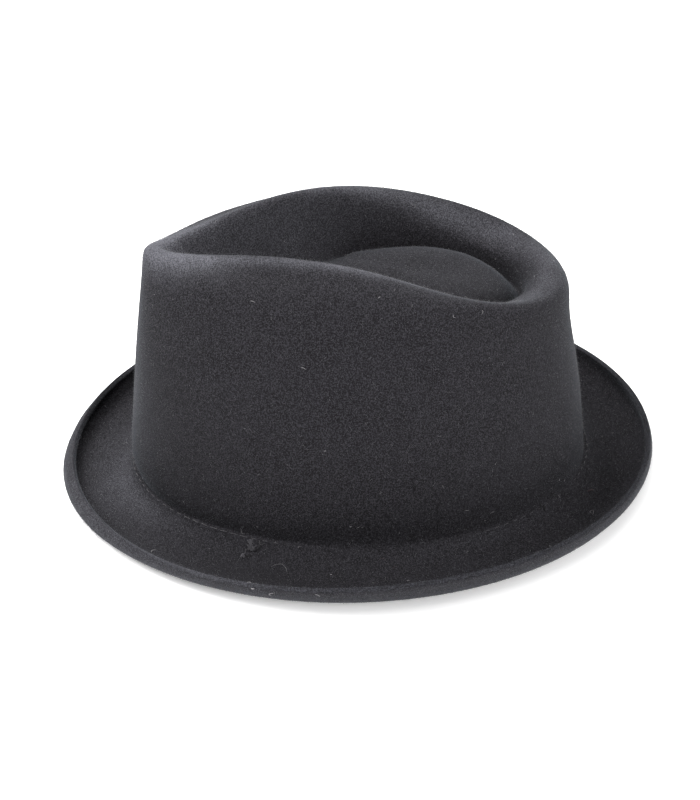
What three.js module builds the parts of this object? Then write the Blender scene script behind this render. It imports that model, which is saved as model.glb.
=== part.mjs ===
// A short-brimmed felt hat, blocked and pressed from one piece of felt.
// Millimetres, +Z up. The hat rests on its brim at Z = 0, its front faces -Y and the wearer's left is +X.
import * as THREE from "three";

const FELT_THICKNESS = 2.4;
const COLUMNS = 72; // points round each ring
const RINGS_PER_SPAN = 2; // rings from one section to the next
const NOSE_ROUNDING = 0.25; // blunts the front point of a pinched ring
const ISLAND_RISE = 0.5; // middle of the crown's top above its last section
const RING_SHIFT = 0.8; // moves the rings back, so that the origin lies under the brim's middle

// Sections of the felt's upper face, from the brim's cut edge, up the crown and down into its crease.
// Each is a ring with its reach to the front, the back and each side. Pinch draws its front to a point.
// Heights are those at the front, 45, 90 and 135 degrees round, and the back.
// The felt is drawn smoothly between them, so a fold comes out rounder than the sections that shape it.
const SECTIONS = [
  { name: "lip", front: 131, back: 131, side: 124.5, pinch: 0, heights: [9, 11.5, 17, 17, 16.5] },
  { name: "curl", front: 138, back: 133.5, side: 120, pinch: 0, heights: [4, 6.5, 8, 10, 9.5] },
  { name: "trough", front: 122.5, back: 122.5, side: 109, pinch: 0, heights: [1, 0.5, 0.5, 0, 0] },
  { name: "brim", front: 109.5, back: 111.5, side: 93, pinch: 0, heights: [3, 3.5, 3, 3, 3] },
  { name: "break", front: 103, back: 103.5, side: 83, pinch: 0, heights: [8.5, 10, 9, 7.5, 7] },
  { name: "foot", front: 106, back: 103, side: 84, pinch: 0, heights: [13, 13.5, 13.5, 12.5, 12] },
  { name: "low wall", front: 104.5, back: 102, side: 84, pinch: 0, heights: [28, 28, 28, 27, 26] },
  { name: "wall", front: 101.5, back: 99, side: 79.5, pinch: 0, heights: [62, 62, 60, 57, 54] },
  { name: "high wall", front: 97.5, back: 94, side: 69.5, pinch: 0.2, heights: [95.5, 99, 96, 85, 78] },
  { name: "shoulder", front: 96, back: 95, side: 67, pinch: 0.45, heights: [109, 115.5, 112.5, 101.5, 91.5] },
  { name: "brow", front: 95.5, back: 90.5, side: 63, pinch: 0.85, heights: [118, 117, 119, 104, 97] },
  { name: "crest", front: 90, back: 84, side: 53.5, pinch: 0.95, heights: [119.5, 121, 123, 99, 101] },
  { name: "inner", front: 81, back: 75.5, side: 45.5, pinch: 0.85, heights: [113.5, 122, 116.5, 96.5, 95] },
  { name: "slope", front: 66, back: 74.5, side: 45, pinch: 0.85, heights: [108, 106, 100, 93, 87.5] },
  { name: "valley", front: 42, back: 73.5, side: 46, pinch: 1, heights: [99.5, 94.5, 88, 83.5, 79] },
  { name: "island", front: 18, back: 66.5, side: 42, pinch: 1.4, heights: [98, 98, 96.5, 96, 92.5] },
  { name: "top", front: 2, back: 46, side: 24, pinch: 1.3, heights: [101.5, 101.5, 100.5, 100, 98] },
];

// Weights of 1, cos t, cos 2t ... that pass through heights given at even steps from front to back.
function cosineWeights(heights) {
  const last = heights.length - 1;
  const isEnd = (index) => index === 0 || index === last;
  return heights.map((_, order) => {
    let sum = 0;
    heights.forEach((height, step) => {
      sum += (isEnd(step) ? height / 2 : height) * Math.cos((Math.PI * order * step) / last);
    });
    return ((isEnd(order) ? 1 : 2) * sum) / last;
  });
}

// How much a pinched ring is narrowed at an angle from its front: most at the front, none at the back.
function pinchScale(turn, pinch) {
  const width = Math.hypot(Math.sin(turn / 2), NOSE_ROUNDING) / Math.hypot(1, NOSE_ROUNDING);
  return width ** pinch;
}

// One section as a ring of points, the first at the front and the next ones towards +X.
function sectionRing({ front, back, side, pinch, heights }) {
  const weights = cosineWeights(heights);
  return Array.from({ length: COLUMNS }, (_, column) => {
    const turn = (2 * Math.PI * column) / COLUMNS;
    const ahead = Math.cos(turn);
    return new THREE.Vector3(
      side * Math.sin(turn) * pinchScale(turn, pinch),
      RING_SHIFT - ahead * (ahead > 0 ? front : back),
      weights.reduce((sum, weight, order) => sum + weight * Math.cos(order * turn), 0),
    );
  });
}

// The point where the rings close, over the middle of the island.
function islandMiddle(ring) {
  const middle = new THREE.Vector3();
  ring.forEach((point) => middle.addScaledVector(point, 1 / ring.length));
  middle.x = 0;
  middle.z += ISLAND_RISE;
  return middle;
}

// A uniform cubic B-spline between the middle two of four control points, at t from 0 to 1.
function splinePoint([a, b, c, d], t) {
  const point = new THREE.Vector3();
  point.addScaledVector(a, (1 - t) ** 3 / 6);
  point.addScaledVector(b, (3 * t ** 3 - 6 * t ** 2 + 4) / 6);
  point.addScaledVector(c, (-3 * t ** 3 + 3 * t ** 2 + 3 * t + 1) / 6);
  return point.addScaledVector(d, t ** 3 / 6);
}

// The ring at t of the way between the middle two of four control rings.
function splineRing(rings, t) {
  return rings[0].map((_, column) => splinePoint(rings.map((ring) => ring[column]), t));
}

// A ring as far beyond one ring as another lies before it, so that the surface ends on the first.
function mirroredRing(ring, before) {
  return ring.map((point, column) => point.clone().multiplyScalar(2).sub(before[column]));
}

// The felt's upper face as rings of points, from the lip to the middle of the island.
function upperRings() {
  const controls = SECTIONS.map(sectionRing);
  const middle = islandMiddle(controls.at(-1));
  controls.push(controls[0].map(() => middle));
  const first = mirroredRing(controls[0], controls[1]);
  const last = mirroredRing(controls.at(-1), controls.at(-2));
  const padded = [first, ...controls, last];
  const rings = [];
  for (let span = 0; span < controls.length - 1; span += 1) {
    const around = padded.slice(span, span + 4);
    for (let step = 0; step < RINGS_PER_SPAN; step += 1) {
      rings.push(splineRing(around, step / RINGS_PER_SPAN));
    }
  }
  rings.push(controls.at(-1));
  return rings;
}

// The way out of the upper face at one point, from its neighbours along and round the rings.
function upperNormal(rings, row, column) {
  const last = rings.length - 1;
  if (row === last) return new THREE.Vector3(0, 0, 1);
  const along = rings[row + 1][column].clone().sub(rings[Math.max(row - 1, 0)][column]);
  const next = rings[row][(column + 1) % COLUMNS];
  const previous = rings[row][(column + COLUMNS - 1) % COLUMNS];
  return next.clone().sub(previous).cross(along).normalize();
}

// The underside lies one felt thickness in, and is pressed flat where the brim rests.
function lowerRings(upper) {
  return upper.map((ring, row) =>
    ring.map((point, column) => {
      const below = point.clone().addScaledVector(upperNormal(upper, row, column), -FELT_THICKNESS);
      below.z = Math.max(below.z, 0);
      return below;
    }),
  );
}

// Both faces of the felt, joined by the cut edge round the brim. The last ring of each face is one point.
function shellGeometry(upper, lower) {
  const positions = [];
  const index = [];
  const last = upper.length - 1;
  const addFace = (rings) => {
    const start = positions.length / 3;
    rings.slice(0, last).forEach((ring) => ring.forEach((point) => positions.push(...point)));
    positions.push(...rings[last][0]);
    return (row, column) => start + row * COLUMNS + (row === last ? 0 : column % COLUMNS);
  };
  const top = addFace(upper);
  const bottom = addFace(lower);
  for (let column = 0; column < COLUMNS; column += 1) {
    const next = column + 1;
    for (let row = 0; row < last - 1; row += 1) {
      index.push(top(row, column), top(row, next), top(row + 1, next));
      index.push(top(row, column), top(row + 1, next), top(row + 1, column));
      index.push(bottom(row, column), bottom(row + 1, next), bottom(row, next));
      index.push(bottom(row, column), bottom(row + 1, column), bottom(row + 1, next));
    }
    index.push(top(last - 1, column), top(last - 1, next), top(last, column));
    index.push(bottom(last - 1, column), bottom(last, column), bottom(last - 1, next));
    index.push(top(0, column), bottom(0, next), top(0, next));
    index.push(top(0, column), bottom(0, column), bottom(0, next));
  }
  const geometry = new THREE.BufferGeometry();
  geometry.setAttribute("position", new THREE.Float32BufferAttribute(positions, 3));
  geometry.setIndex(index);
  geometry.computeVertexNormals();
  return geometry;
}

// Crown and brim are one blocked piece of black wool felt.
function makeFeltBody() {
  const upper = upperRings();
  const feltMaterial = new THREE.MeshStandardMaterial({ color: 0x222225, roughness: 0.95, metalness: 0 });
  const body = new THREE.Mesh(shellGeometry(upper, lowerRings(upper)), feltMaterial);
  body.name = "felt_body";
  return body;
}

const hat = new THREE.Group();
hat.add(makeFeltBody());

export default hat;
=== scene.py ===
"""Looks of a short-brimmed black felt hat.

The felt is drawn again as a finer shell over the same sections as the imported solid, then dressed as
wool felt: nap, loose curly fibres, lint, the row of stitches at the crown's foot, and the tuft and
thread ends beside it. Sizes in the dataclasses are millimetres, and the meshes are in metres.
"""

import logging
import math
from collections.abc import Iterable
from dataclasses import dataclass, field
from enum import Enum

import bmesh
import bpy
import numpy as np
from bmesh.types import BMEdge, BMesh, BMFace, BMVert
from bpy.types import Material, Node, NodeSocket, NodeTree, Object
from mathutils import Matrix, Vector, noise


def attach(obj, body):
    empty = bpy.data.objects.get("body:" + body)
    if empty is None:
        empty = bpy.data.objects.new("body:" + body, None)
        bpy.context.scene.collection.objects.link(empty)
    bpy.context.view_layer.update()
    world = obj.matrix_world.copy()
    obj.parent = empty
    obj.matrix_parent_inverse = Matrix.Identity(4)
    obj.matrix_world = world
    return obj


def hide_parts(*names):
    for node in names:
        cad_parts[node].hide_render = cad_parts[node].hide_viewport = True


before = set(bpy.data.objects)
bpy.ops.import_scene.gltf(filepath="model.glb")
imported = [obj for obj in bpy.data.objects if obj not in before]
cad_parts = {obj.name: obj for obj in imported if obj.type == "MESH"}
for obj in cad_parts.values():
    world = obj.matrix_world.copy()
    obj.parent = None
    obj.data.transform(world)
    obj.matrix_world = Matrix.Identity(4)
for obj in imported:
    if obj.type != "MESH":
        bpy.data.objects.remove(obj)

# Least and most of a value.
Span = tuple[float, float]
MM = 0.001
BODY = "root"
FELT_NODE = "felt_body"
# Names of the layers that the felt's mesh carries.
TURN = "turn"
ROW = "row"
SIDE = "side"
# Layer of painted highlight above 0, partly on rubbed nap, and of painted shade below 0.
WEAR_AND_PAINTED_LIGHT = "wear_and_painted_light"
# Rows up to this one belong to the brim's turned-up lip, whose underside shows from outside.
LIP_ROWS = 2.5
# Height of a bit of thread or lint above the felt, in its own thicknesses.
MARK_HEIGHT = 0.3
# Point that the studio's lights face, in metres.
LIGHT_AIM = Vector((0, 0, 0.05))

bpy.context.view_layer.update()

log = logging.getLogger("felt_hat")


def linear_colour(hex_value: str) -> tuple[float, float, float, float]:
    """Turns an sRGB hex colour into Blender's linear one.

    Args:
        hex_value: Six hex digits, such as "1e1e21".

    Returns:
        Linear red, green and blue, and an alpha of 1.
    """
    channels = [int(hex_value[start : start + 2], 16) / 255 for start in (0, 2, 4)]
    linear = [c / 12.92 if c <= 0.04045 else ((c + 0.055) / 1.055) ** 2.4 for c in channels]
    return (*linear, 1.0)


def per_metre(size_mm: float) -> float:
    """Texture scale at which one cell of a noise is that many millimetres wide."""
    return 1 / (size_mm * MM)


def swell(value: float, middle: float, width: float) -> float:
    """Smooth bump of height 1 round a middle value."""
    return math.exp(-(((value - middle) / width) ** 2))


def add_node(
    tree: NodeTree,
    kind: str,
    settings: dict[str, object] | None = None,
    inputs: dict[str | int, object] | None = None,
) -> Node:
    """Adds one shader node with its settings and links.

    Args:
        tree: Node tree that gets the node.
        kind: Type of node, such as "ShaderNodeTexNoise".
        settings: Properties of the node.
        inputs: Sockets by name or place, each with a value or with the output socket that feeds it.

    Returns:
        The new node.
    """
    node = tree.nodes.new(kind)
    for name, value in (settings or {}).items():
        setattr(node, name, value)
    for key, value in (inputs or {}).items():
        if isinstance(value, NodeSocket):
            tree.links.new(value, node.inputs[key])
        else:
            node.inputs[key].default_value = value
    return node


def new_material(name: str) -> tuple[Material, NodeTree]:
    """Makes an empty node material.

    Args:
        name: Name of the material.

    Returns:
        The material and its tree.
    """
    material = bpy.data.materials.new(name)
    material.use_nodes = True
    material.node_tree.nodes.clear()
    return material, material.node_tree


def close_material(tree: NodeTree, inputs: dict[str, object]) -> None:
    """Adds the shader with its inputs, and feeds it into the material's output."""
    shader = add_node(tree, "ShaderNodeBsdfPrincipled", inputs=inputs)
    add_node(tree, "ShaderNodeOutputMaterial", inputs={"Surface": shader.outputs[0]})


def noise_pattern(tree: NodeTree, size_mm: float, **inputs: float) -> NodeSocket:
    """Adds a noise pattern that is fixed to the object.

    Args:
        tree: Node tree of the material.
        size_mm: Width of the pattern's cells.
        inputs: The pattern's other inputs, by name.

    Returns:
        Socket with the pattern.
    """
    place = add_node(tree, "ShaderNodeTexCoord").outputs["Object"]
    inputs |= {"Vector": place, "Scale": per_metre(size_mm)}
    return add_node(tree, "ShaderNodeTexNoise", inputs=inputs).outputs["Fac"]


def compute(tree: NodeTree, operation: str, *values: object, clamp: bool = False) -> NodeSocket:
    """Adds one step of arithmetic on numbers or sockets, held between 0 and 1 if clamped."""
    settings = {"operation": operation, "use_clamp": clamp}
    return add_node(tree, "ShaderNodeMath", settings, dict(enumerate(values))).outputs[0]


def spread(tree: NodeTree, value: NodeSocket, span: Span) -> NodeSocket:
    """Stretches the part of a pattern between the span's two values to the range from 0 to 1."""
    inputs = {"Value": value, "From Min": span[0], "From Max": span[1]}
    return add_node(tree, "ShaderNodeMapRange", inputs=inputs).outputs["Result"]


def blend(tree: NodeTree, share: NodeSocket, first: object, second: object) -> NodeSocket:
    """Mixes two colours or colour sockets, by the second one's share."""
    inputs = {"Factor": share, 6: first, 7: second}
    return add_node(tree, "ShaderNodeMix", {"data_type": "RGBA"}, inputs).outputs[2]


@dataclass(frozen=True)
class WoolFelt:
    """Wool felt, fulled and brushed: short matted hair, matt, with a pale bloom where it turns away.

    The real hairs are about 0.03 mm thick. They are drawn as a grain of about 0.6 mm, which the
    picture can just show.
    """

    name: str = "wool_felt"
    deep: str = "0b0a0c"
    mid: str = "121114"
    hair: str = "2f2e32"
    # Colour of the painted highlights on rubbed nap.
    worn_and_highlight: str = "5c5c62"
    mottle_mm: float = 16.0
    mottle_span: Span = (0.3, 0.7)
    grain_mm: float = 0.62
    grain_span: Span = (0.44, 0.66)
    curl_mm: float = 1.9
    curl_level: float = 0.5
    curl_band: float = 0.03
    curl_share: float = 0.25
    # How strongly the painted highlights show on the ground and on the hair.
    worn_and_highlight_ground: float = 0.35
    worn_and_highlight_hair: float = 0.9
    bump_mm: float = 0.22
    sheen: float = 0.18
    sheen_roughness: float = 0.3
    sheen_tint: str = "a9b1bc"

    def material(self) -> Material:
        """Builds the felt's node material.

        Returns:
            The material.
        """
        material, tree = new_material(self.name)
        grain = noise_pattern(tree, self.grain_mm, Detail=2.0, Roughness=0.6)
        relief = {"Strength": 1.0, "Distance": self.bump_mm * MM, "Height": grain}
        bump = add_node(tree, "ShaderNodeBump", inputs=relief)
        finish = {
            "Base Color": self.colour(tree, grain),
            "Roughness": 0.95,
            "Specular IOR Level": 0.15,
            "Sheen Weight": self.sheen,
            "Sheen Roughness": self.sheen_roughness,
            "Sheen Tint": linear_colour(self.sheen_tint),
            "Normal": bump.outputs["Normal"],
        }
        close_material(tree, finish)
        return material

    def colour(self, tree: NodeTree, grain: NodeSocket) -> NodeSocket:
        """Mixes the mottled ground and the hair, then adds painted highlight and painted shade.

        Args:
            tree: Node tree of the material.
            grain: Socket with the pattern of the hair.

        Returns:
            Socket with the felt's colour.
        """
        deep = linear_colour(self.deep)
        mottle = noise_pattern(tree, self.mottle_mm, Detail=4.0, Roughness=0.6)
        ground = blend(tree, spread(tree, mottle, self.mottle_span), deep, linear_colour(self.mid))
        curls = noise_pattern(tree, self.curl_mm, Detail=2.0, Roughness=0.6, Distortion=1.2)
        on_curl = compute(tree, "COMPARE", curls, self.curl_level, self.curl_band)
        short = spread(tree, grain, self.grain_span)
        hair = compute(tree, "MULTIPLY_ADD", on_curl, self.curl_share, short, clamp=True)
        # Above 0 the layer paints highlights in the pale colour, stronger on the hair than on the
        # ground.
        wear_and_painted_light = add_node(tree, "ShaderNodeAttribute", {"attribute_name": WEAR_AND_PAINTED_LIGHT}).outputs["Fac"]
        loose = compute(tree, "MULTIPLY_ADD", hair, self.worn_and_highlight_hair, self.worn_and_highlight_ground, clamp=True)
        raised_and_highlight = compute(tree, "MULTIPLY", wear_and_painted_light, loose, clamp=True)
        # Share of painted shade, where the layer is below 0.
        pressed = compute(tree, "MULTIPLY", wear_and_painted_light, -1.0, clamp=True)
        nap = blend(tree, hair, ground, linear_colour(self.hair))
        base = blend(tree, pressed, nap, deep)
        return blend(tree, raised_and_highlight, base, linear_colour(self.worn_and_highlight))


@dataclass(frozen=True)
class SpunFibre:
    """Wool hair, thread or lint: thin, of one shade that varies a little along it."""

    name: str
    colour: str
    roughness: float = 0.75
    sheen: float = 0.1
    patch_mm: float = 3.0
    dark_share: float = 0.5

    def material(self) -> Material:
        """Builds the fibre's node material.

        Returns:
            The material.
        """
        material, tree = new_material(self.name)
        light = linear_colour(self.colour)
        dark = (*(self.dark_share * channel for channel in light[:3]), 1.0)
        finish = {
            "Base Color": blend(tree, noise_pattern(tree, self.patch_mm), dark, light),
            "Roughness": self.roughness,
            "Specular IOR Level": 0.3,
            "Sheen Weight": self.sheen,
        }
        close_material(tree, finish)
        return material


class Finish(Enum):
    """Finishes of the hat's pieces."""

    FELT = WoolFelt()
    # The cut shows the felt's paler core and its hair ends.
    CUT_FELT = WoolFelt(name="cut_wool_felt", mid="18181b", hair="343439", curl_mm=1.1, bump_mm=0.3)
    LOOSE_WOOL = SpunFibre("loose_wool", "3a3a3f", sheen=0.3)
    CURLY_WOOL = SpunFibre("curly_wool", "47474c", sheen=0.3)
    COTTON = SpunFibre("cotton_thread", "3a383c", sheen=0.3)
    # Patches of light and shade give the small knots their depth.
    TUFT = SpunFibre("frayed_thread", "5c5a60", patch_mm=0.9, dark_share=0.04)
    # Dark thread, also used for the painted shadow beside the main tuft.
    DARK_COTTON = SpunFibre("dark_cotton_and_shadow", "151417", sheen=0)
    PALE_LINT = SpunFibre("pale_lint", "8f8d90")
    WARM_LINT = SpunFibre("warm_lint", "3a2c30")

    def material(self) -> Material:
        """The finish's material, made once."""
        return bpy.data.materials.get(self.value.name) or self.value.material()


@dataclass(frozen=True)
class Section:
    """One ring of the felt's upper face: its reach, how far its front is drawn to a point, and its
    heights at the front, 45, 90 and 135 degrees round, and the back."""

    name: str
    front: float
    back: float
    side: float
    pinch: float
    heights: tuple[float, ...]

    def height(self, turn: float) -> float:
        """Height on the cosine series through the five heights.

        Args:
            turn: Angle from the front, in radians.

        Returns:
            Height in millimetres.
        """
        last = len(self.heights) - 1
        total = 0.0
        for order in range(last + 1):
            share = 1 if order in (0, last) else 2
            for step, height in enumerate(self.heights):
                end = 0.5 if step in (0, last) else 1
                weight = share * end * math.cos(math.pi * order * step / last) / last
                total += weight * height * math.cos(order * turn)
        return total


SECTIONS = (
    Section("lip", 131, 131, 124.5, 0, (9, 11.5, 17, 17, 16.5)),
    Section("curl", 138, 133.5, 120, 0, (4, 6.5, 8, 10, 9.5)),
    Section("trough", 122.5, 122.5, 109, 0, (1, 0.5, 0.5, 0, 0)),
    Section("brim", 109.5, 111.5, 93, 0, (3, 3.5, 3, 3, 3)),
    Section("break", 103, 103.5, 83, 0, (8.5, 10, 9, 7.5, 7)),
    Section("foot", 106, 103, 84, 0, (13, 13.5, 13.5, 12.5, 12)),
    Section("low wall", 104.5, 102, 84, 0, (28, 28, 28, 27, 26)),
    Section("wall", 101.5, 99, 79.5, 0, (62, 62, 60, 57, 54)),
    Section("high wall", 97.5, 94, 69.5, 0.2, (95.5, 99, 96, 85, 78)),
    Section("shoulder", 96, 95, 67, 0.45, (109, 115.5, 112.5, 101.5, 91.5)),
    Section("brow", 95.5, 90.5, 63, 0.85, (118, 117, 119, 104, 97)),
    Section("crest", 90, 84, 53.5, 0.95, (119.5, 121, 123, 99, 101)),
    Section("inner", 81, 75.5, 45.5, 0.85, (113.5, 122, 116.5, 96.5, 95)),
    Section("slope", 66, 74.5, 45, 0.85, (108, 106, 100, 93, 87.5)),
    Section("valley", 42, 73.5, 46, 1, (99.5, 94.5, 88, 83.5, 79)),
    Section("island", 18, 66.5, 42, 1.4, (98, 98, 96.5, 96, 92.5)),
    Section("top", 2, 46, 24, 1.3, (101.5, 101.5, 100.5, 100, 98)),
)


@dataclass(frozen=True)
class WearAndPaintedLightPatch:
    """One place with a painted highlight on rubbed nap, or painted shade if its strength is below 0.

    It fades over its widths, in rows and in radians. A mirrored patch is on both sides of the hat.
    """

    strength: float
    row: float
    row_width: float
    turn: float = 0.0
    turn_width: float = math.inf
    mirrored: bool = False

    def at(self, row: float, turn: float) -> float:
        """Wear that the patch gives at a row and an angle from the front."""
        strength = self.strength * swell(row, self.row, self.row_width)
        return strength * swell(abs(turn) if self.mirrored else turn, self.turn, self.turn_width)


OUTER_WEAR_AND_PAINTED_LIGHT = (
    # Painted highlights: fold above the wearer's left ear, crown's front corner, fold round the back.
    WearAndPaintedLightPatch(0.75, 11.0, 0.4, 1.3, 1.1),
    WearAndPaintedLightPatch(1.35, 10.4, 1.1, 0, 0.3),
    WearAndPaintedLightPatch(0.36, 10.7, 1.0, math.pi, 1.2, mirrored=True),
    # Painted highlight: fold above the wearer's right ear. Painted light: the crease's wall below it.
    WearAndPaintedLightPatch(0.4, 10.9, 0.6, -1.3, 1.1),
    WearAndPaintedLightPatch(0.28, 12.5, 1.1, -0.7, 0.9),
    # Painted highlights: front of the brim, a spot beside the crown, and the cut edge.
    WearAndPaintedLightPatch(0.3, 3.0, 1.0, 0.1, 0.4),
    WearAndPaintedLightPatch(0.08, 3.7, 0.35, 2.1, 0.35),
    WearAndPaintedLightPatch(0.3, 0, 0.12, 0.75, 0.45),
    # Painted shade: back of the crease, and the brim's trough.
    WearAndPaintedLightPatch(-0.9, 14.1, 0.8, 2.7, 0.7, mirrored=True),
    WearAndPaintedLightPatch(-0.35, 2.4, 0.7, 1.1, 0.6),
)
# Painted bounce light, with looser nap, on the underside of the lip, most of all towards the front.
INNER_WEAR_AND_PAINTED_LIGHT = (WearAndPaintedLightPatch(0.1, 0.8, 1.2), WearAndPaintedLightPatch(0.25, 0.8, 1.2, 0.5, 0.6))


class Face(Enum):
    """Which face of the felt a polygon belongs to."""

    OUTER = 0
    INNER = 1
    CUT = 2


@dataclass
class FeltBody:
    """Crown and brim, blocked from one piece of felt, as one hollow shell.

    Rows count the sections from the lip up. Turns are radians from the front, towards the wearer's
    left.
    """

    name: str = "felt_shell"
    sections: tuple[Section, ...] = SECTIONS
    columns: int = 96
    smoothing: int = 2
    frame_step: float = 0.02
    thickness: float = 2.4
    nose_rounding: float = 0.25
    ring_shift: float = 0.8
    island_rise: float = 0.5
    edge_rounding: float = 0.4
    edge_angle: float = 50.0
    # The pressed line above the brim dips at each side. Its reaches up and down are in rows.
    break_row: float = 4.05
    break_sag: float = 0.25
    sag_turn: float = 1.53
    sag_width: float = 0.3
    break_depth: float = 1.1
    break_swell: float = 0.7
    break_above: float = 0.9
    break_below: float = 0.8
    break_crest: float = 0.14
    press_mean: float = 0.6
    press_swing: float = 0.4
    press_waves: int = 6
    break_cuts: int = 2
    finer_below: float = 0.8
    finer_above: float = 0.5
    level_gap: float = 0.01
    hand_wave: float = 60.0
    hand_depth: float = 0.35
    folded_row: float = 9.0
    folded_passes: int = 14
    # Size and spread of the noise that makes the painted light and shade uneven.
    wear_and_light_patch: float = 9.0
    wear_and_light_spread: float = 0.4

    def control_point(self, section: Section, turn: float) -> Vector:
        """Point of a section at an angle from the front.

        Args:
            section: Ring that the point is on.
            turn: Angle from the front, in radians.

        Returns:
            Point in metres.
        """
        ahead = math.cos(turn)
        width = math.hypot(math.sin(turn / 2), self.nose_rounding) / math.hypot(1, self.nose_rounding)
        x = section.side * math.sin(turn) * width**section.pinch
        y = self.ring_shift - ahead * (section.front if ahead > 0 else section.back)
        return Vector((x, y, section.height(turn))) * MM

    def point_at(self, row: float, turn: float) -> Vector:
        """Point on the smooth upper face.

        Args:
            row: Row, with a fraction between two sections.
            turn: Angle from the front, in radians.

        Returns:
            Point in metres.
        """
        first = min(int(row), len(self.sections) - 3)
        t = row - first
        near = (self.sections[max(index, 0)] for index in range(first - 1, first + 3))
        a, b, c, d = (self.control_point(section, turn) for section in near)
        if first == 0:
            a = 2 * b - c
        weights = ((1 - t) ** 3, 3 * t**3 - 6 * t**2 + 4, -3 * t**3 + 3 * t**2 + 3 * t + 1, t**3)
        return sum((w / 6 * p for w, p in zip(weights, (a, b, c, d))), Vector())

    def frame_at(self, row: float, turn: float, heading: float = 0.0, under: bool = False) -> Matrix:
        """Frame on the felt: X runs round the hat, Y up the felt and Z out of it.

        Args:
            row: Row, as for point_at.
            turn: Angle from the front, in radians.
            heading: Turn of the frame about its Z, in radians.
            under: Whether the frame is on the felt's lower face.

        Returns:
            Matrix that puts something made at the origin there.
        """
        step = self.frame_step
        round_hat = (self.point_at(row, turn + step) - self.point_at(row, turn - step)).normalized()
        up_felt = self.point_at(row + step, turn) - self.point_at(max(row - step, 0), turn)
        out = round_hat.cross(up_felt).normalized()
        point = self.point_at(row, turn)
        point += out * self.relief(point, row)
        if under:
            point -= out * self.thickness * MM
            out = -out
            round_hat = -round_hat
        axes = Matrix((round_hat, out.cross(round_hat), out)).transposed().to_4x4()
        return Matrix.Translation(point) @ axes @ Matrix.Rotation(heading, 4, "Z")

    def break_line(self, turn: float) -> float:
        """Row of the pressed line at an angle from the front: it dips a little at each side."""
        return self.break_row - self.break_sag * swell(abs(turn), self.sag_turn, self.sag_width)

    def relief(self, point: Vector, row: float) -> float:
        """How far the felt stands out from its smooth form at a point.

        The block and the hand leave slow waves. The crown is pressed in just above the break, and the
        brim swells a little below it.

        Args:
            point: Point on the smooth form, in metres.
            row: Row there.

        Returns:
            Distance in metres.
        """
        wave = noise.noise(point * per_metre(self.hand_wave)) * self.hand_depth
        turn = math.atan2(point.x, -point.y)
        press = self.press_mean + self.press_swing * math.cos(self.press_waves * turn)
        past = row - self.break_line(turn)
        if 0 < past < self.break_above:
            dent = self.break_depth * press * min(past / self.break_crest, 1)
            wave -= dent * (1 - past / self.break_above) ** 2
        if -self.break_below < past < self.break_crest:
            rise = self.break_swell * press * (1 - max(past, 0) / self.break_crest)
            wave += rise * (1 - max(-past, 0) / self.break_below) ** 2
        return wave * MM

    def control_net(self) -> Object:
        """Draws the upper face's control net: one ring of edges, extruded from section to section.

        Returns:
            The net, with a modifier that smooths it.
        """
        bm = bmesh.new()
        bmesh.ops.create_circle(bm, segments=self.columns, radius=1)
        turn_layer = bm.verts.layers.float.new(TURN)
        row_layer = bm.verts.layers.float.new(ROW)
        for vert in bm.verts:
            vert[turn_layer] = math.atan2(vert.co.x, -vert.co.y)
            vert.co = self.control_point(self.sections[0], vert[turn_layer])
        ring = list(bm.edges)
        for row, section in enumerate((*self.sections[1:], self.sections[-1]), start=1):
            grown = bmesh.ops.extrude_edge_only(bm, edges=ring)["geom"]
            ring = [part for part in grown if isinstance(part, BMEdge)]
            last = [part for part in grown if isinstance(part, BMVert)]
            for vert in last:
                vert[row_layer] = row
                vert.co = self.control_point(section, vert[turn_layer])
        middle = sum((vert.co for vert in last), Vector()) / len(last)
        middle.x = 0
        middle.z += self.island_rise * MM
        bmesh.ops.pointmerge(bm, verts=last, merge_co=middle)
        bmesh.ops.recalc_face_normals(bm, faces=bm.faces)
        net = object_from_bmesh(self.name, bm)
        modifier = net.modifiers.new("smooth_sections", "SUBSURF")
        modifier.levels = modifier.render_levels = self.smoothing
        return net

    def build(self) -> Object:
        """Smooths the net, works the felt, gives it its thickness and rounds its cut edge.

        Returns:
            The finished hat body.
        """
        net = self.control_net()
        bm = bmesh.new()
        bm.from_object(net, bpy.context.evaluated_depsgraph_get())
        bpy.data.objects.remove(net)
        self.work_surface(bm)
        self.thicken(bm)
        self.round_cut_edge(bm)
        self.press_flat(bm)
        self.mark_wear_and_painted_light(bm)
        for face in bm.faces:
            face.smooth = True
        body = object_from_bmesh(self.name, bm)
        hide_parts(FELT_NODE)
        return dressed(body, Finish.FELT, Finish.CUT_FELT)

    def work_surface(self, bm: BMesh) -> None:
        """Gives the smooth sheet its slow waves and the pressed line above the break.

        Args:
            bm: Mesh of the sheet.
        """
        row_layer = bm.verts.layers.float[ROW]
        low, high = self.break_row - self.finer_below, self.break_row + self.finer_above
        near = []
        for edge in bm.edges:
            rows = [vert[row_layer] for vert in edge.verts]
            if low <= min(rows) and max(rows) <= high and max(rows) - min(rows) > self.level_gap:
                near.append(edge)
        bmesh.ops.subdivide_edges(bm, edges=near, cuts=self.break_cuts, use_grid_fill=True)
        bm.normal_update()
        moves = [(vert, vert.normal * self.relief(vert.co, vert[row_layer])) for vert in bm.verts]
        for vert, move in moves:
            vert.co += move

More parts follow.
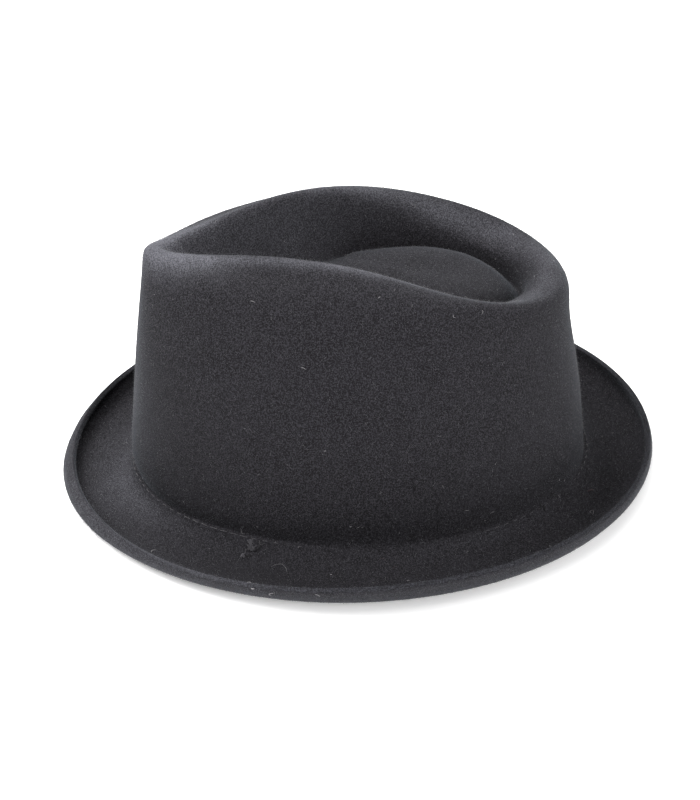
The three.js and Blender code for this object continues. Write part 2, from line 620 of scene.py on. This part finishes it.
    def thicken(self, bm: BMesh) -> None:
        """Turns the sheet into a wall that lies inside it, and marks which face is which.

        Args:
            bm: Mesh of the sheet, which becomes that of the wall.
        """
        side_layer = bm.faces.layers.int.new(SIDE)
        sheet = bm.faces[:]
        grown = bmesh.ops.solidify(bm, geom=sheet, thickness=self.thickness * MM)["geom"]
        inner = {part for part in grown if isinstance(part, BMFace)}
        for face in inner:
            face[side_layer] = Face.INNER.value
        for face in set(bm.faces) - inner - set(sheet):
            face[side_layer] = Face.CUT.value
            face.material_index = 1
        bmesh.ops.recalc_face_normals(bm, faces=bm.faces)
        self.relax_inside(bm, inner)

    def relax_inside(self, bm: BMesh, inner: set[BMFace]) -> None:
        """Evens out the lower face inside the crown's tight folds and at the island's closed middle.

        Args:
            bm: Mesh of the whole wall.
            inner: Faces of its lower side.
        """
        row_layer = bm.verts.layers.float[ROW]
        folded = [
            vert
            for vert in bm.verts
            if vert[row_layer] > self.folded_row and all(face in inner for face in vert.link_faces)
        ]
        for _ in range(self.folded_passes):
            bmesh.ops.smooth_vert(
                bm, verts=folded, factor=0.5, use_axis_x=True, use_axis_y=True, use_axis_z=True
            )

    def round_cut_edge(self, bm: BMesh) -> None:
        """Rounds the two edges of the brim's raw cut, which is crisp but soft.

        Args:
            bm: Mesh of the whole wall.
        """
        side_layer = bm.faces.layers.int[SIDE]
        limit = math.radians(self.edge_angle)
        cut = [
            edge
            for edge in bm.edges
            if edge.is_manifold
            and edge.calc_face_angle(0) > limit
            and any(face[side_layer] == Face.CUT.value for face in edge.link_faces)
        ]
        rounding = {"offset": self.edge_rounding * MM, "segments": 2, "profile": 0.5}
        bmesh.ops.bevel(bm, geom=cut, affect="EDGES", material=-1, **rounding)

    def press_flat(self, bm: BMesh) -> None:
        """Flattens the underside where the brim rests on the surface."""
        for vert in bm.verts:
            vert.co.z = max(vert.co.z, 0)

    def mark_wear_and_painted_light(self, bm: BMesh) -> None:
        """Stores the painted highlights, partly on rubbed nap, and the painted shade.

        Args:
            bm: Mesh of the whole wall.
        """
        row_layer = bm.verts.layers.float[ROW]
        side_layer = bm.faces.layers.int[SIDE]
        wear_and_light_layer = bm.verts.layers.float.new(WEAR_AND_PAINTED_LIGHT)
        for vert in bm.verts:
            row = vert[row_layer]
            turn = math.atan2(vert.co.x, -vert.co.y)
            inner = all(face[side_layer] == Face.INNER.value for face in vert.link_faces)
            wear_and_painted_light = sum(patch.at(row, turn) for patch in (INNER_WEAR_AND_PAINTED_LIGHT if inner else OUTER_WEAR_AND_PAINTED_LIGHT))
            uneven = noise.noise(vert.co * per_metre(self.wear_and_light_patch))
            vert[wear_and_light_layer] = wear_and_painted_light * (1 + self.wear_and_light_spread * uneven)


@dataclass
class FeltSurface:
    """Finished felt as triangles, from which loose fibres grow."""

    corners: np.ndarray
    normals: np.ndarray
    reach: np.ndarray

    @classmethod
    def of(cls, body: Object, inner_share: float, wear_and_light_share: float) -> "FeltSurface":
        """Reads the felt's mesh.

        Args:
            body: Finished hat body.
            inner_share: How thickly fibres grow inside the hat, against 1 outside and under the lip.
            wear_and_light_share: How many more fibres grow where the felt has its full painted
                highlight.

        Returns:
            The surface, ready to be scattered on.
        """
        mesh = body.data
        mesh.calc_loop_triangles()
        points = read_array(mesh.vertices, "co", 3)
        normals = read_array(mesh.vertices, "normal", 3)
        triangles = read_array(mesh.loop_triangles, "vertices", 3, np.int32)
        faces = read_array(mesh.loop_triangles, "polygon_index", 1, np.int32)[:, 0]
        sides = read_array(mesh.attributes[SIDE].data, "value", 1, np.int32)[:, 0]
        corners = points[triangles]
        spans = np.cross(corners[:, 1] - corners[:, 0], corners[:, 2] - corners[:, 0])
        areas = np.linalg.norm(spans, axis=1)
        rows = read_array(mesh.attributes[ROW].data, "value", 1)[triangles].mean(axis=1)[:, 0]
        wear_and_painted_light = read_array(mesh.attributes[WEAR_AND_PAINTED_LIGHT].data, "value", 1)[triangles].mean(axis=1)[:, 0]
        areas[(sides[faces] == Face.INNER.value) & (rows > LIP_ROWS)] *= inner_share
        areas *= 1 + wear_and_light_share * np.clip(wear_and_painted_light, 0, 1)
        reach = np.cumsum(areas, dtype=np.float64)
        return cls(corners, normals[triangles], reach / reach[-1])

    def scatter(self, count: int, rng: np.random.Generator) -> tuple[np.ndarray, np.ndarray]:
        """Draws points spread evenly over the felt.

        Args:
            count: Number of points.
            rng: Seeded source of random numbers.

        Returns:
            Points in metres, and the felt's normals there.
        """
        chosen = np.searchsorted(self.reach, rng.random(count))
        weights = rng.dirichlet((1.0, 1.0, 1.0), count)[:, :, None]
        points = (self.corners[chosen] * weights).sum(axis=1)
        normals = (self.normals[chosen] * weights).sum(axis=1)
        return points, unit(normals)


def read_array(items: object, name: str, width: int, kind: type = np.float32) -> np.ndarray:
    """Reads one property of a mesh's items.

    Args:
        items: Collection, such as a mesh's vertices.
        name: Property that each item has.
        width: Numbers in each item's property.
        kind: Type of number.

    Returns:
        Array with a row for each item.
    """
    values = np.empty(len(items) * width, dtype=kind)
    items.foreach_get(name, values)
    return values.reshape(-1, width)


def unit(vectors: np.ndarray) -> np.ndarray:
    """Scales each row to a length of 1."""
    return vectors / np.linalg.norm(vectors, axis=-1, keepdims=True)


@dataclass
class FibreCoat:
    """Hair that stands loose from the felt, each a thin tapering tube of three sides."""

    name: str
    seed: int
    count: int = 40000
    length: Span = (0.5, 1.4)
    thickness: float = 0.06
    finish: Finish = Finish.LOOSE_WOOL
    knots: int = 2
    lift: Span = (15.0, 70.0)
    curl: float = 0.0
    droop: float = 0.0
    taper: float = 0.5
    inner_share: float = 0.3
    # More fibres grow where highlights are painted on the felt.
    wear_and_light_share: float = 4.0
    root_depth: float = 0.15

    def build(self, body: Object) -> Object:
        """Grows the coat on the finished felt.

        Args:
            body: Finished hat body.

        Returns:
            The coat as one joined mesh.
        """
        rng = np.random.default_rng(self.seed)
        roots, out = FeltSurface.of(body, self.inner_share, self.wear_and_light_share).scatter(self.count, rng)
        return dressed(self.joined_tubes(self.paths(roots, out, rng), rng), self.finish)

    def paths(self, roots: np.ndarray, out: np.ndarray, rng: np.random.Generator) -> np.ndarray:
        """Lays out each fibre's line.

        Args:
            roots: Points on the felt.
            out: Normals there.
            rng: Seeded source of random numbers.

        Returns:
            Points of each line, from its root to its tip.
        """
        along = unit(np.cross(out, rng.normal(size=out.shape)))
        across = np.cross(out, along)
        lift = np.radians(rng.uniform(*self.lift, self.count))[:, None]
        length = rng.uniform(*self.length, self.count)[:, None] * MM
        bend = rng.normal(0, self.curl, self.count)[:, None]
        lines = []
        for step in np.linspace(0, 1, self.knots):
            rise = np.sin(lift) * (step - self.droop * step**2)
            line = along * np.cos(lift) * step + across * bend * step**2 + out * rise
            lines.append(roots + line * length - out * self.root_depth * MM * (1 - step))
        paths = np.stack(lines, axis=1)
        paths[:, :, 2] = np.maximum(paths[:, :, 2], self.thickness / 2 * MM)
        return paths

    def joined_tubes(self, paths: np.ndarray, rng: np.random.Generator) -> Object:
        """Joins a closed tube round each line into one mesh.

        Args:
            paths: Points of each line.
            rng: Seeded source of random numbers.

        Returns:
            Object with the mesh.
        """
        heading = unit(paths[:, -1] - paths[:, 0])
        side = unit(np.cross(heading, rng.normal(size=heading.shape)))
        up = np.cross(heading, side)
        rings = []
        for knot in range(self.knots - 1):
            radius = self.thickness / 2 * MM * (1 - self.taper * knot / self.knots)
            for corner in range(3):
                angle = math.tau * corner / 3
                out = side * math.cos(angle) + up * math.sin(angle)
                rings.append(paths[:, knot] + radius * out)
        points = np.stack([*rings, paths[:, -1]], axis=1)
        tip = 3 * (self.knots - 1)
        faces = [(0, 2, 1)]
        for start in range(0, tip - 3, 3):
            for corner in range(3):
                near, far = start + corner, start + (corner + 1) % 3
                faces += [(near, far, far + 3), (near, far + 3, near + 3)]
        faces += [(tip - 3 + corner, tip - 3 + (corner + 1) % 3, tip) for corner in range(3)]
        shift = np.arange(self.count)[:, None, None] * (tip + 1)
        triangles = (np.array(faces)[None] + shift).reshape(-1, 3)
        return object_from_triangles(self.name, points.reshape(-1, 3), triangles)


def object_from_triangles(name: str, points: np.ndarray, triangles: np.ndarray) -> Object:
    """Writes joined triangles to a new object at the origin, in the scene.

    Args:
        name: Name of the object and its mesh.
        points: Point positions in metres.
        triangles: Three point numbers for each triangle.

    Returns:
        The new object.
    """
    mesh = bpy.data.meshes.new(name)
    mesh.vertices.add(len(points))
    mesh.vertices.foreach_set("co", points.astype(np.float32).ravel())
    mesh.loops.add(triangles.size)
    mesh.loops.foreach_set("vertex_index", triangles.astype(np.int32).ravel())
    mesh.polygons.add(len(triangles))
    mesh.polygons.foreach_set("loop_start", np.arange(0, triangles.size, 3, dtype=np.int32))
    mesh.update(calc_edges=True)
    piece = bpy.data.objects.new(name, mesh)
    bpy.context.scene.collection.objects.link(piece)
    return piece


@dataclass
class Strands:
    """Single threads, bridged from ring to ring along a line and gathered in one mesh."""

    name: str
    finish: Finish
    thickness: float = 0.3
    sides: int = 6
    end_taper: float = 0.55
    mesh: BMesh = field(default_factory=bmesh.new)

    def draw(self, line: list[Vector], thickness: float | None = None) -> None:
        """Draws one thread along a line, closed at both ends.

        Args:
            line: Points in metres.
            thickness: Thread's thickness in millimetres, where it isn't the usual one.
        """
        radius = (thickness or self.thickness) * MM / 2
        last = len(line) - 1
        before: list[BMEdge] = []
        for knot, point in enumerate(line):
            heading = line[min(knot + 1, last)] - line[max(knot - 1, 0)]
            at_end = knot in (0, last)
            turned = heading.to_track_quat("Z", "Y").to_matrix().to_4x4()
            made = bmesh.ops.create_circle(
                self.mesh,
                cap_ends=at_end,
                segments=self.sides,
                radius=radius * (self.end_taper if at_end else 1),
                matrix=Matrix.Translation(point) @ turned,
            )
            ring = list(dict.fromkeys(edge for vert in made["verts"] for edge in vert.link_edges))
            if before:
                bmesh.ops.bridge_loops(self.mesh, edges=before + ring)
            before = ring

    def build(self) -> Object:
        """Finishes the mesh and dresses it.

        Returns:
            The threads as one piece.
        """
        bmesh.ops.recalc_face_normals(self.mesh, faces=self.mesh.faces)
        for face in self.mesh.faces:
            face.smooth = True
        return dressed(object_from_bmesh(self.name, self.mesh), self.finish)


@dataclass
class StitchRow:
    """Running stitches along the break between crown and brim."""

    hat: FeltBody
    pitch: float = 5.0
    length: float = 3.9
    # A stitch's points, in half lengths. Past dip_from it goes down into the felt.
    knots: tuple[float, ...] = (-1.0, -0.85, -0.45, 0.0, 0.45, 0.85, 1.0)
    dip: float = 0.45
    dip_from: float = 0.6
    # It lies below the pressed line, in rows, and stands proud in one place only.
    below_line: float = 0.02
    sunk: float = 0.2
    proud: float = 0.3
    proud_turn: float = 0.78
    proud_width: float = 0.26
    # Each stitch is a little askew, and longer or shorter than the last.
    askew: float = 0.06
    askew_pace: float = 7.3
    uneven: float = 0.15
    uneven_pace: float = 4.1
    measured_points: int = 361

    def build(self) -> Object:
        """Sews the row all round.

        Returns:
            The stitches as one piece.
        """
        thread = Strands("break_stitches", Finish.COTTON)
        for number, turn in enumerate(self.even_turns()):
            row = self.hat.break_line(turn) - self.below_line
            place = self.hat.frame_at(row, turn, self.askew * math.sin(self.askew_pace * number))
            half = self.length / 2 * (1 + self.uneven * math.sin(self.uneven_pace * number))
            proud = self.proud * swell(turn, self.proud_turn, self.proud_width) - self.sunk
            line = []
            for share in self.knots:
                sink = max(abs(share) - self.dip_from, 0) / (1 - self.dip_from)
                height = proud - self.dip * sink
                line.append(place @ (Vector((half * share, 0, height)) * MM))
            thread.draw(line)
        return thread.build()

    def even_turns(self) -> list[float]:
        """Works out where the stitches are, one pitch apart.

        Returns:
            Angles from the front, in radians.
        """
        steps = np.linspace(-math.pi, math.pi, self.measured_points)
        points = np.array([self.hat.point_at(self.hat.break_row, turn) for turn in steps])
        along = np.concatenate(([0], np.cumsum(np.linalg.norm(np.diff(points, axis=0), axis=1))))
        count = round(along[-1] / (self.pitch * MM))
        return list(np.interp(np.arange(count) * along[-1] / count, along, steps))


class Shape(Enum):
    """Shapes of a bit of lint or thread, as points in its own length: along, across, out."""

    DASH = ((-0.5, 0, 0), (-0.2, 0.06, 0.1), (0.2, 0.06, 0.1), (0.5, 0, 0))
    ARC = ((-0.5, -0.2, 0), (-0.3, 0.06, 0.05), (0, 0.18, 0.08), (0.3, 0.06, 0.05), (0.5, -0.2, 0))
    HOOK = (
        (-0.2, 0.5, 0), (-0.34, 0.1, 0.08), (-0.22, -0.3, 0.1), (0.1, -0.44, 0.08), (0.36, -0.3, 0)
    )
    ANGLE = (
        (-0.1, 0.5, 0.1), (-0.08, 0, 0.12), (-0.02, -0.3, 0.1), (0.16, -0.42, 0.06), (0.4, -0.44, 0)
    )
    LOOP = (
        (-0.5, -0.2, 0), (-0.1, -0.25, 0.1), (0.3, -0.1, 0.14), (0.35, 0.2, 0.12),
        (0, 0.3, 0.1), (-0.25, 0.1, 0.1), (-0.1, -0.12, 0.06),
    )
    WAVE = ((-0.5, 0.1, 0), (-0.25, -0.12, 0.1), (0, 0.1, 0.12), (0.25, -0.1, 0.1), (0.5, 0.08, 0))


@dataclass(frozen=True)
class Mark:
    """One bit of lint or thread that the hat shows. Its turn and heading are degrees."""

    row: float
    turn: float
    shape: Shape
    length: float
    thickness: float
    heading: float = 0.0
    under: bool = False


@dataclass(frozen=True)
class Tuft:
    """One rough knot of short threads. Its turn is degrees."""

    row: float
    turn: float
    size: float
    threads: int


@dataclass
class ThreadEnds:
    """Cut ends where the row of stitches begins: a knotted tuft, a smaller knot, loose ends and a
    painted shadow.
    """

    hat: FeltBody
    seed: int = 11
    tufts: tuple[Tuft, ...] = (
        Tuft(3.5, 58.4, 1.7, 44),
        Tuft(3.78, 57.9, 1.3, 22),
        Tuft(3.07, 56.8, 1.1, 20),
    )
    # A tuft's thread, in sizes of the tuft: its steps, how it keeps its heading, strays and is
    # pulled back at each, and how high it lies.
    steps: int = 6
    stride: float = 0.3
    start: float = 0.3
    keep: float = 0.6
    stray: float = 0.8
    pull: float = 0.7
    base: float = 0.2
    rise: float = 1.1
    ends: tuple[Mark, ...] = (
        Mark(4.40, 55.2, Shape.ANGLE, 2.6, 0.34, heading=8),
        Mark(3.35, 57.2, Shape.WAVE, 4.5, 0.28, heading=70),
        Mark(3.85, 60.6, Shape.HOOK, 2.4, 0.28, heading=20),
    )
    # Dark marks: the first two, beside and below the main tuft, are its painted shadow; the others
    # are dark thread ends.
    dark_ends_and_tuft_shadow: tuple[Mark, ...] = (
        Mark(3.55, 60.3, Shape.DASH, 3.6, 0.5, heading=65),
        Mark(3.15, 58.3, Shape.DASH, 2.8, 0.45, heading=20),
        Mark(3.90, 136.2, Shape.DASH, 3.6, 0.34, heading=62),
        Mark(4.10, 135.4, Shape.DASH, 3.0, 0.34, heading=70),
    )

    def build(self) -> list[Object]:
        """Ties the tufts and lays the loose ends.

        Returns:
            The tufts, the ends, and the dark ends with the painted shadow, as three pieces.
        """
        return [
            self.tie_tufts(),
            draw_marks("thread_ends", Finish.COTTON, self.hat, self.ends),
            draw_marks("dark_thread_ends_and_tuft_shadow", Finish.DARK_COTTON, self.hat, self.dark_ends_and_tuft_shadow),
        ]

    def tie_tufts(self) -> Object:
        """Winds short threads into small rough knots that sit on the felt.

        Returns:
            The knots as one piece.
        """
        rng = np.random.default_rng(self.seed)
        knots = Strands("thread_tuft", Finish.TUFT, sides=5)
        for tuft in self.tufts:
            place = self.hat.frame_at(tuft.row, math.radians(tuft.turn))
            for _ in range(tuft.threads):
                line = []
                spot = rng.normal(0, self.start, 3)
                heading = rng.normal(size=3)
                for _ in range(self.steps):
                    heading = self.keep * heading + self.stray * rng.normal(size=3) - self.pull * spot
                    spot = spot + self.stride * heading / np.linalg.norm(heading)
                    flat = Vector((spot[0], spot[1], self.base + self.rise * abs(spot[2])))
                    line.append(place @ (flat * tuft.size * MM))
                knots.draw(line)
        return knots.build()


def draw_marks(name: str, finish: Finish, hat: FeltBody, marks: Iterable[Mark]) -> Object:
    """Lays bits of thread or lint on the felt.

    Args:
        name: Name of the piece.
        finish: Finish of the bits.
        hat: Felt that carries them.
        marks: Bits with their places.

    Returns:
        The bits as one piece.
    """
    strands = Strands(name, finish, sides=5)
    for mark in marks:
        turn, heading = math.radians(mark.turn), math.radians(mark.heading)
        place = hat.frame_at(mark.row, turn, heading, mark.under)
        lay = MARK_HEIGHT * mark.thickness
        line = [
            place @ (Vector((x * mark.length, y * mark.length, z * mark.length + lay)) * MM)
            for x, y, z in mark.shape.value
        ]
        strands.draw(line, mark.thickness)
    return strands.build()


@dataclass
class Lint:
    """Pale dust and lint that black wool picks up: a few bits with a known place, and many strays."""

    hat: FeltBody
    seed: int = 5
    strays: int = 220
    stray_rows: Span = (1.2, 16.0)
    stray_length: Span = (0.5, 1.5)
    stray_thickness: Span = (0.06, 0.11)
    placed: tuple[Mark, ...] = (
        Mark(9.55, 91.8, Shape.DASH, 1.2, 0.25, heading=40),
        Mark(9.05, 111.5, Shape.HOOK, 1.4, 0.2, heading=10),
        Mark(9.20, 120.2, Shape.ANGLE, 1.8, 0.16, heading=140),
        Mark(7.80, 71.8, Shape.DASH, 2.2, 0.22, heading=-20),
        Mark(8.85, 58.5, Shape.DASH, 2.2, 0.2, heading=-8),
        Mark(11.7, 171.5, Shape.DASH, 1.0, 0.22),
        Mark(2.95, 66.5, Shape.ARC, 8.0, 0.08, heading=-12),
        Mark(2.40, 146.2, Shape.LOOP, 3.4, 0.12, heading=10),
        Mark(2.85, 78.2, Shape.DASH, 0.8, 0.3),
        Mark(2.50, 94.8, Shape.DASH, 1.2, 0.24, heading=5),
        Mark(5.40, 82.8, Shape.DASH, 0.7, 0.26),
        Mark(5.15, 119.3, Shape.DASH, 2.2, 0.1, heading=12),
        Mark(5.50, 112.0, Shape.DASH, 2.2, 0.1, heading=-8),
        Mark(0.20, 76.6, Shape.ANGLE, 2.2, 0.24, heading=30, under=True),
        Mark(0.40, 68.2, Shape.HOOK, 2.6, 0.3, heading=110, under=True),
        Mark(0.80, 128.6, Shape.DASH, 2.2, 0.3, heading=20, under=True),
        Mark(0.05, 64.2, Shape.DASH, 1.4, 0.5, under=True),
        Mark(2.05, 61.5, Shape.WAVE, 2.6, 0.22),
        Mark(1.95, 37.2, Shape.ANGLE, 2.8, 0.24, heading=-30),
    )
    warm: tuple[Mark, ...] = (
        Mark(3.00, 153.5, Shape.DASH, 3.6, 0.7, heading=-30),
        Mark(3.10, 92.5, Shape.WAVE, 2.6, 0.14, heading=20),
        Mark(3.45, 90.0, Shape.ARC, 3.0, 0.12, heading=-15),
    )

    def build(self) -> list[Object]:
        """Lays the placed bits with the strays, and the warm bits.

        Returns:
            The two pieces of lint.
        """
        pale = [*self.placed, *self.stray_marks()]
        return [
            draw_marks("pale_lint", Finish.PALE_LINT, self.hat, pale),
            draw_marks("warm_lint", Finish.WARM_LINT, self.hat, self.warm),
        ]

    def stray_marks(self) -> list[Mark]:
        """Scatters bits over the upper face.

        Returns:
            The bits with their places.
        """
        rng = np.random.default_rng(self.seed)
        shapes = list(Shape)
        return [
            Mark(
                row=rng.uniform(*self.stray_rows),
                turn=rng.uniform(-180, 180),
                shape=shapes[rng.integers(len(shapes))],
                length=rng.uniform(*self.stray_length),
                thickness=rng.uniform(*self.stray_thickness),
                heading=rng.uniform(0, 360),
            )
            for _ in range(self.strays)
        ]


def object_from_bmesh(name: str, bm: BMesh) -> Object:
    """Writes a bmesh to a new object at the origin, in the scene.

    Args:
        name: Name of the object and its mesh.
        bm: Mesh being edited, which is freed.

    Returns:
        The new object.
    """
    mesh = bpy.data.meshes.new(name)
    bm.to_mesh(mesh)
    bm.free()
    piece = bpy.data.objects.new(name, mesh)
    bpy.context.scene.collection.objects.link(piece)
    return piece


def dressed(piece: Object, *finishes: Finish) -> Object:
    """Gives a piece its finishes and seats it on the hat's body.

    Args:
        piece: Finished mesh.
        finishes: One finish for each material number of its faces.

    Returns:
        The same piece.
    """
    for finish in finishes:
        piece.data.materials.append(finish.material())
    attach(piece, BODY)
    return piece


@dataclass(frozen=True)
class SoftBox:
    """A square studio light that faces the hat."""

    name: str
    azimuth: float
    elevation: float
    power: float
    distance: float = 1.8
    size: float = 1.0

    def build(self) -> None:
        """Puts the light in the scene."""
        light = bpy.data.lights.new(self.name, "AREA")
        light.shape = "SQUARE"
        light.size = self.size
        light.energy = self.power
        holder = bpy.data.objects.new(self.name, light)
        holder.matrix_world = looking_matrix(self.azimuth, self.elevation, self.distance, LIGHT_AIM)
        bpy.context.scene.collection.objects.link(holder)


def looking_matrix(
    azimuth: float, elevation: float, distance: float, target: Vector, roll: float = 0
) -> Matrix:
    """Matrix of a camera or light that looks at a point.

    Args:
        azimuth: Direction in degrees: 0 in front of the hat, 90 at the wearer's left.
        elevation: Angle above the floor, in degrees.
        distance: Distance from the target, in metres.
        target: Point that is looked at.
        roll: Turn about the line of sight, in degrees.

    Returns:
        World matrix, with -Z towards the target.
    """
    a = math.radians(azimuth)
    e = math.radians(elevation)
    away = Vector((math.sin(a) * math.cos(e), -math.cos(a) * math.cos(e), math.sin(e)))
    right = Vector((math.cos(a), math.sin(a), 0))
    up = away.cross(right)
    turned = Matrix((right, up, away)).transposed().to_4x4()
    rolled = Matrix.Rotation(math.radians(roll), 4, "Z")
    return Matrix.Translation(target + away * distance) @ turned @ rolled


@dataclass
class Studio:
    """Pale floor, white surroundings, soft lights and the camera."""

    floor_size: float = 12.0
    floor_colour: str = "f4f4f4"
    floor_glow: float = 0.35
    surround: float = 0.05
    camera_azimuth: float = 84.35
    camera_elevation: float = 31.05
    camera_distance: float = 1.2
    camera_roll: float = -0.54
    lens: float = 118.08
    aim: Vector = field(default_factory=lambda: Vector((0, -3.93, 33.68)) * MM)
    lights: tuple[SoftBox, ...] = (
        SoftBox("front_box", azimuth=0, elevation=50, power=32),
        SoftBox("far_front_box", azimuth=300, elevation=50, power=35),
        SoftBox("low_near_box", azimuth=120, elevation=20, power=20),
        SoftBox("low_back_box", azimuth=180, elevation=20, power=15.5),
        SoftBox("low_far_box", azimuth=240, elevation=20, power=7),
        SoftBox("near_box", azimuth=60, elevation=50, power=12),
        SoftBox("high_box", azimuth=90, elevation=72, power=10.5),
    )

    def build(self) -> None:
        """Makes the floor, the surroundings, the lights and the camera."""
        self.build_floor()
        self.build_surround()
        for light in self.lights:
            light.build()
        self.build_camera()
        bpy.context.scene.view_settings.view_transform = "Standard"

    def build_floor(self) -> None:
        """Lays the plain floor."""
        bm = bmesh.new()
        bmesh.ops.create_grid(bm, x_segments=1, y_segments=1, size=self.floor_size / 2)
        floor = object_from_bmesh("floor", bm)
        material, tree = new_material("matt_paper")
        finish = {
            "Base Color": linear_colour(self.floor_colour),
            "Roughness": 0.9,
            "Specular IOR Level": 0.2,
            "Emission Color": linear_colour(self.floor_colour),
            "Emission Strength": self.floor_glow,
        }
        close_material(tree, finish)
        floor.data.materials.append(material)

    def build_surround(self) -> None:
        """Lights the scene evenly from all round."""
        world = bpy.data.worlds.new("white_room")
        world.use_nodes = True
        background = world.node_tree.nodes["Background"]
        background.inputs["Color"].default_value = (1, 1, 1, 1)
        background.inputs["Strength"].default_value = self.surround
        bpy.context.scene.world = world

    def build_camera(self) -> None:
        """Sets the camera at the photograph's angle."""
        camera = bpy.data.cameras.new("camera")
        camera.lens = self.lens
        holder = bpy.data.objects.new("camera", camera)
        place = (self.camera_azimuth, self.camera_elevation, self.camera_distance)
        holder.matrix_world = looking_matrix(*place, self.aim, self.camera_roll)
        bpy.context.scene.collection.objects.link(holder)
        bpy.context.scene.camera = holder


NAP = (
    FibreCoat("nap_one", seed=1),
    FibreCoat("nap_two", seed=2),
    FibreCoat("nap_three", seed=3),
    FibreCoat(
        "curly_hair",
        seed=4,
        count=9000,
        length=(1.0, 2.4),
        thickness=0.07,
        finish=Finish.CURLY_WOOL,
        knots=5,
        lift=(3, 30),
        curl=0.6,
        droop=0.8,
    ),
)


def main() -> None:
    """Builds the hat and its studio, piece by piece."""
    logging.basicConfig(level=logging.INFO, format="%(name)s: %(message)s")
    Studio().build()
    log.info("studio ready")
    hat = FeltBody()
    body = hat.build()
    pieces = [body, StitchRow(hat).build(), *ThreadEnds(hat).build(), *Lint(hat).build()]
    coats = NAP
    pieces += [coat.build(body) for coat in coats]
    for piece in pieces:
        log.info("%s: %d faces", piece.name, len(piece.data.polygons))


if __name__ == "__main__":
    main()
